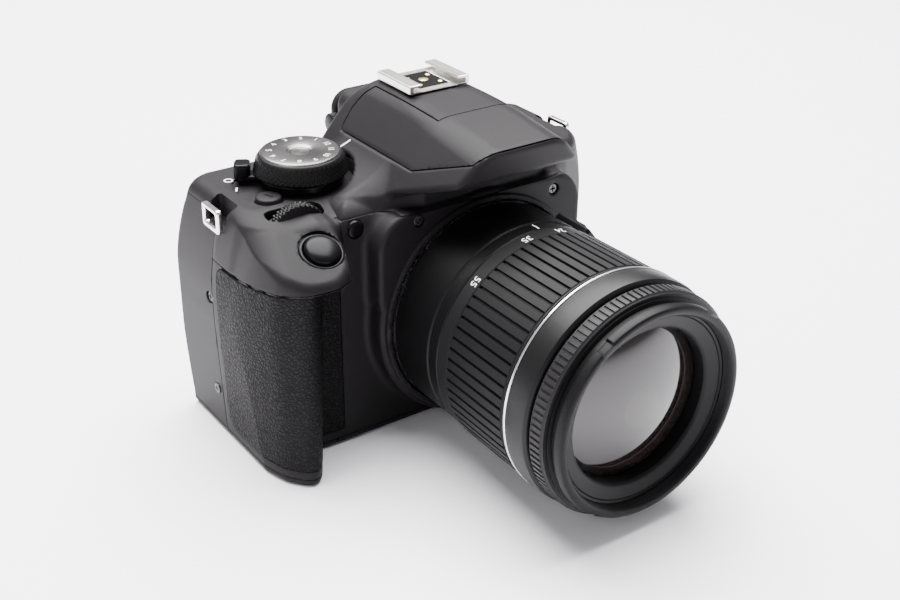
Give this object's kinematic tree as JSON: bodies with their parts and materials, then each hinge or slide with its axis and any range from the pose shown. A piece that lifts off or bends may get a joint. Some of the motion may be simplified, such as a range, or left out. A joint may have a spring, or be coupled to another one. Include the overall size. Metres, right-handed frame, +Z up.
{
  "type": "dslr camera",
  "caption": "Single-lens reflex camera with hand grip, pop-up flash lid, hot shoe, mode dial and a standard zoom lens with ribbed zoom and focus rings.",
  "frame": {"origin": "tripod socket's axis at the base plane", "axes": "+Z up, the lens points to -Y, +X to the right of someone facing the lens"},
  "size_m": [0.129, 0.1378, 0.1013],
  "materials": {
    "body_plastic": "fine matt texture",
    "grip_rubber": "leather-like grain",
    "lens_plastic": "satin black",
    "gloss_black": "polished",
    "dial_plastic": "knurled, with a spun silver cap",
    "steel": "stamped",
    "chrome": "plated",
    "black_screw": "blackened",
    "brass": "turned",
    "optical_glass": "coated",
    "mirror": "front silvered",
    "inner_black": "flat black",
    "circuit_board": "lacquered",
    "sensor": "glass covered",
    "battery_case": "moulded",
    "card_case": "moulded",
    "screen_glass": "polished",
    "lamp": "ribbed lens",
    "eyecup_rubber": "soft matt"
  },
  "bodies": {
    "camera": {"grip_rubber": "grip_rubber", "front_cover": "body_plastic", "rear_cover": "body_plastic", "top_cover": "body_plastic", "bottom_cover": "body_plastic", "screws": "black_screw", "chassis": "steel", "mirror_box": "inner_black", "shutter_frame": "inner_black", "image_sensor": "sensor", "main_board": "circuit_board", "focusing_screen": "optical_glass", "pentamirror": "inner_black", "eyepiece_lens": "optical_glass", "eyecup": "eyecup_rubber", "lcd_screen": "screen_glass", "battery": "battery_case", "memory_card": "card_case", "tripod_socket": "steel", "lens_mount_ring": "steel", "hot_shoe": "steel", "strap_lugs": "chrome", "flash_hinge_pin": "steel", "lens_bayonet": "lens_plastic", "lens_rear_barrel": "lens_plastic", "lens_front_band": "lens_plastic"},
    "shutter_button": {"shutter_button": "gloss_black"},
    "flash_button": {"flash_button": "body_plastic"},
    "main_dial": {"main_dial": "dial_plastic"},
    "mode_dial": {"mode_dial": "dial_plastic"},
    "power_lever": {"power_lever": "lens_plastic"},
    "flash_head": {"flash_head": "body_plastic", "flash_lamp": "lamp"},
    "mirror": {"mirror": "mirror"},
    "sub_mirror": {"sub_mirror": "mirror"},
    "first_curtain": {"first_curtain": "inner_black"},
    "second_curtain": {"second_curtain": "inner_black"},
    "lens_release_button": {"lens_release_button": "body_plastic"},
    "battery_door": {"battery_door": "body_plastic"},
    "terminal_cover": {"terminal_cover": "grip_rubber"},
    "dioptre_knob": {"dioptre_knob": "lens_plastic"},
    "zoom_ring": {"zoom_ring": "lens_plastic"},
    "inner_barrel": {"inner_barrel": "lens_plastic"},
    "rear_lens_group": {"rear_lens_group": "optical_glass"},
    "focus_sleeve": {"focus_sleeve": "lens_plastic"},
    "focus_ring": {"focus_ring": "lens_plastic", "front_element": "optical_glass"},
    "af_switch": {"af_switch": "lens_plastic"},
    "live_view_button": {"live_view_button": "body_plastic"},
    "ae_lock_button": {"ae_lock_button": "body_plastic"},
    "af_point_button": {"af_point_button": "body_plastic"},
    "exposure_button": {"exposure_button": "body_plastic"},
    "quick_button": {"quick_button": "body_plastic"},
    "set_button": {"set_button": "body_plastic"},
    "up_button": {"up_button": "body_plastic"},
    "down_button": {"down_button": "body_plastic"},
    "left_button": {"left_button": "body_plastic"},
    "right_button": {"right_button": "body_plastic"},
    "play_button": {"play_button": "body_plastic"},
    "menu_button": {"menu_button": "body_plastic"}
  },
  "joints": [
    {"name": "shutter_press", "type": "slide", "parent": "camera", "child": "shutter_button", "axis": [0, 0.4472, -0.8944], "range_m": [0, 0.0012], "stiffness_N_per_m": 400},
    {"name": "flash_button_press", "type": "slide", "parent": "camera", "child": "flash_button", "axis": [0, 0, -1], "range_m": [0, 0.0008], "stiffness_N_per_m": 400},
    {"name": "lens_release_press", "type": "slide", "parent": "camera", "child": "lens_release_button", "axis": [0, 1, 0], "range_m": [0, 0.0015], "stiffness_N_per_m": 400},
    {"name": "main_dial_turn", "type": "hinge", "parent": "camera", "child": "main_dial", "pos_m": [-0.055, -0.0065, 0.069], "axis": [0, -1, 0], "continuous": true},
    {"name": "mode_dial_turn", "type": "hinge", "parent": "camera", "child": "mode_dial", "pos_m": [-0.0432, 0.0115, 0.08], "axis": [0, 0, 1], "continuous": true},
    {"name": "power_switch", "type": "hinge", "parent": "camera", "child": "power_lever", "pos_m": [-0.0432, 0.0115, 0.078], "axis": [0, 0, 1], "range_deg": [0, 22]},
    {"name": "flash_lift", "type": "hinge", "parent": "camera", "child": "flash_head", "pos_m": [0, 0.0126, 0.0902], "axis": [-1, 0, 0], "range_deg": [0, 60]},
    {"name": "mirror_flip", "type": "hinge", "parent": "camera", "child": "mirror", "pos_m": [0, 0.0104, 0.0482], "axis": [-1, 0, 0], "range_deg": [0, 45]},
    {"name": "sub_mirror_fold", "type": "hinge", "parent": "mirror", "child": "sub_mirror", "pos_m": [0, 0.00198, 0.03752], "axis": [-1, 0, 0], "range_deg": [0, 88]},
    {"name": "first_curtain_run", "type": "slide", "parent": "camera", "child": "first_curtain", "axis": [0, 0, -1], "range_m": [0, 0.0168]},
    {"name": "second_curtain_run", "type": "slide", "parent": "camera", "child": "second_curtain", "axis": [0, 0, -1], "range_m": [0, 0.0168]},
    {"name": "battery_door_open", "type": "hinge", "parent": "camera", "child": "battery_door", "pos_m": [-0.05, 0.005, 0.0011], "axis": [0, -1, 0], "range_deg": [0, 90]},
    {"name": "terminal_open", "type": "hinge", "parent": "camera", "child": "terminal_cover", "pos_m": [0.05325, 0.0226, 0.041], "axis": [0, 0, 1], "range_deg": [0, 100]},
    {"name": "dioptre_turn", "type": "hinge", "parent": "camera", "child": "dioptre_knob", "pos_m": [-0.0189, 0.0342, 0.082], "axis": [1, 0, 0], "range_deg": [-120, 120]},
    {"name": "zoom_turn", "type": "hinge", "parent": "camera", "child": "zoom_ring", "pos_m": [0, -0.06, 0.0375], "axis": [0, -1, 0], "range_deg": [0, 40]},
    {"name": "barrel_zoom", "type": "slide", "parent": "camera", "child": "inner_barrel", "axis": [0, -1, 0], "range_m": [0, 0.0122]},
    {"name": "rear_group_zoom", "type": "slide", "parent": "camera", "child": "rear_lens_group", "axis": [0, -1, 0], "range_m": [0, 0.0182]},
    {"name": "focus_extend", "type": "slide", "parent": "inner_barrel", "child": "focus_sleeve", "axis": [0, -1, 0], "range_m": [0, 0.0052]},
    {"name": "focus_turn", "type": "hinge", "parent": "focus_sleeve", "child": "focus_ring", "pos_m": [0, -0.09, 0.0375], "axis": [0, -1, 0], "range_deg": [0, 90]},
    {"name": "focus_mode_slide", "type": "slide", "parent": "camera", "child": "af_switch", "axis": [0.6157, 0, -0.788], "range_m": [0, 0.003]},
    {"name": "live_view_press", "type": "slide", "parent": "camera", "child": "live_view_button", "axis": [0, -1, 0], "range_m": [0, 0.0008], "stiffness_N_per_m": 400},
    {"name": "ae_lock_press", "type": "slide", "parent": "camera", "child": "ae_lock_button", "axis": [0, -1, 0], "range_m": [0, 0.0008], "stiffness_N_per_m": 400},
    {"name": "af_point_press", "type": "slide", "parent": "camera", "child": "af_point_button", "axis": [0, -1, 0], "range_m": [0, 0.0008], "stiffness_N_per_m": 400},
    {"name": "exposure_press", "type": "slide", "parent": "camera", "child": "exposure_button", "axis": [0, -1, 0], "range_m": [0, 0.0008], "stiffness_N_per_m": 400},
    {"name": "quick_press", "type": "slide", "parent": "camera", "child": "quick_button", "axis": [0, -1, 0], "range_m": [0, 0.0008], "stiffness_N_per_m": 400},
    {"name": "set_press", "type": "slide", "parent": "camera", "child": "set_button", "axis": [0, -1, 0], "range_m": [0, 0.0008], "stiffness_N_per_m": 400},
    {"name": "up_press", "type": "slide", "parent": "camera", "child": "up_button", "axis": [0, -1, 0], "range_m": [0, 0.0008], "stiffness_N_per_m": 400},
    {"name": "down_press", "type": "slide", "parent": "camera", "child": "down_button", "axis": [0, -1, 0], "range_m": [0, 0.0008], "stiffness_N_per_m": 400},
    {"name": "left_press", "type": "slide", "parent": "camera", "child": "left_button", "axis": [0, -1, 0], "range_m": [0, 0.0008], "stiffness_N_per_m": 400},
    {"name": "right_press", "type": "slide", "parent": "camera", "child": "right_button", "axis": [0, -1, 0], "range_m": [0, 0.0008], "stiffness_N_per_m": 400},
    {"name": "play_press", "type": "slide", "parent": "camera", "child": "play_button", "axis": [0, -1, 0], "range_m": [0, 0.0008], "stiffness_N_per_m": 400},
    {"name": "menu_press", "type": "slide", "parent": "camera", "child": "menu_button", "axis": [0, -1, 0], "range_m": [0, 0.0008], "stiffness_N_per_m": 400}
  ],
  "couplings": [
    {"joint": "sub_mirror_fold", "follows": "mirror_flip", "ratio": 1.9556},
    {"joint": "barrel_zoom", "follows": "zoom_turn", "m_per_rad": 0.017189},
    {"joint": "rear_group_zoom", "follows": "zoom_turn", "m_per_rad": 0.025783},
    {"joint": "focus_extend", "follows": "focus_turn", "m_per_rad": 0.003183}
  ]
}
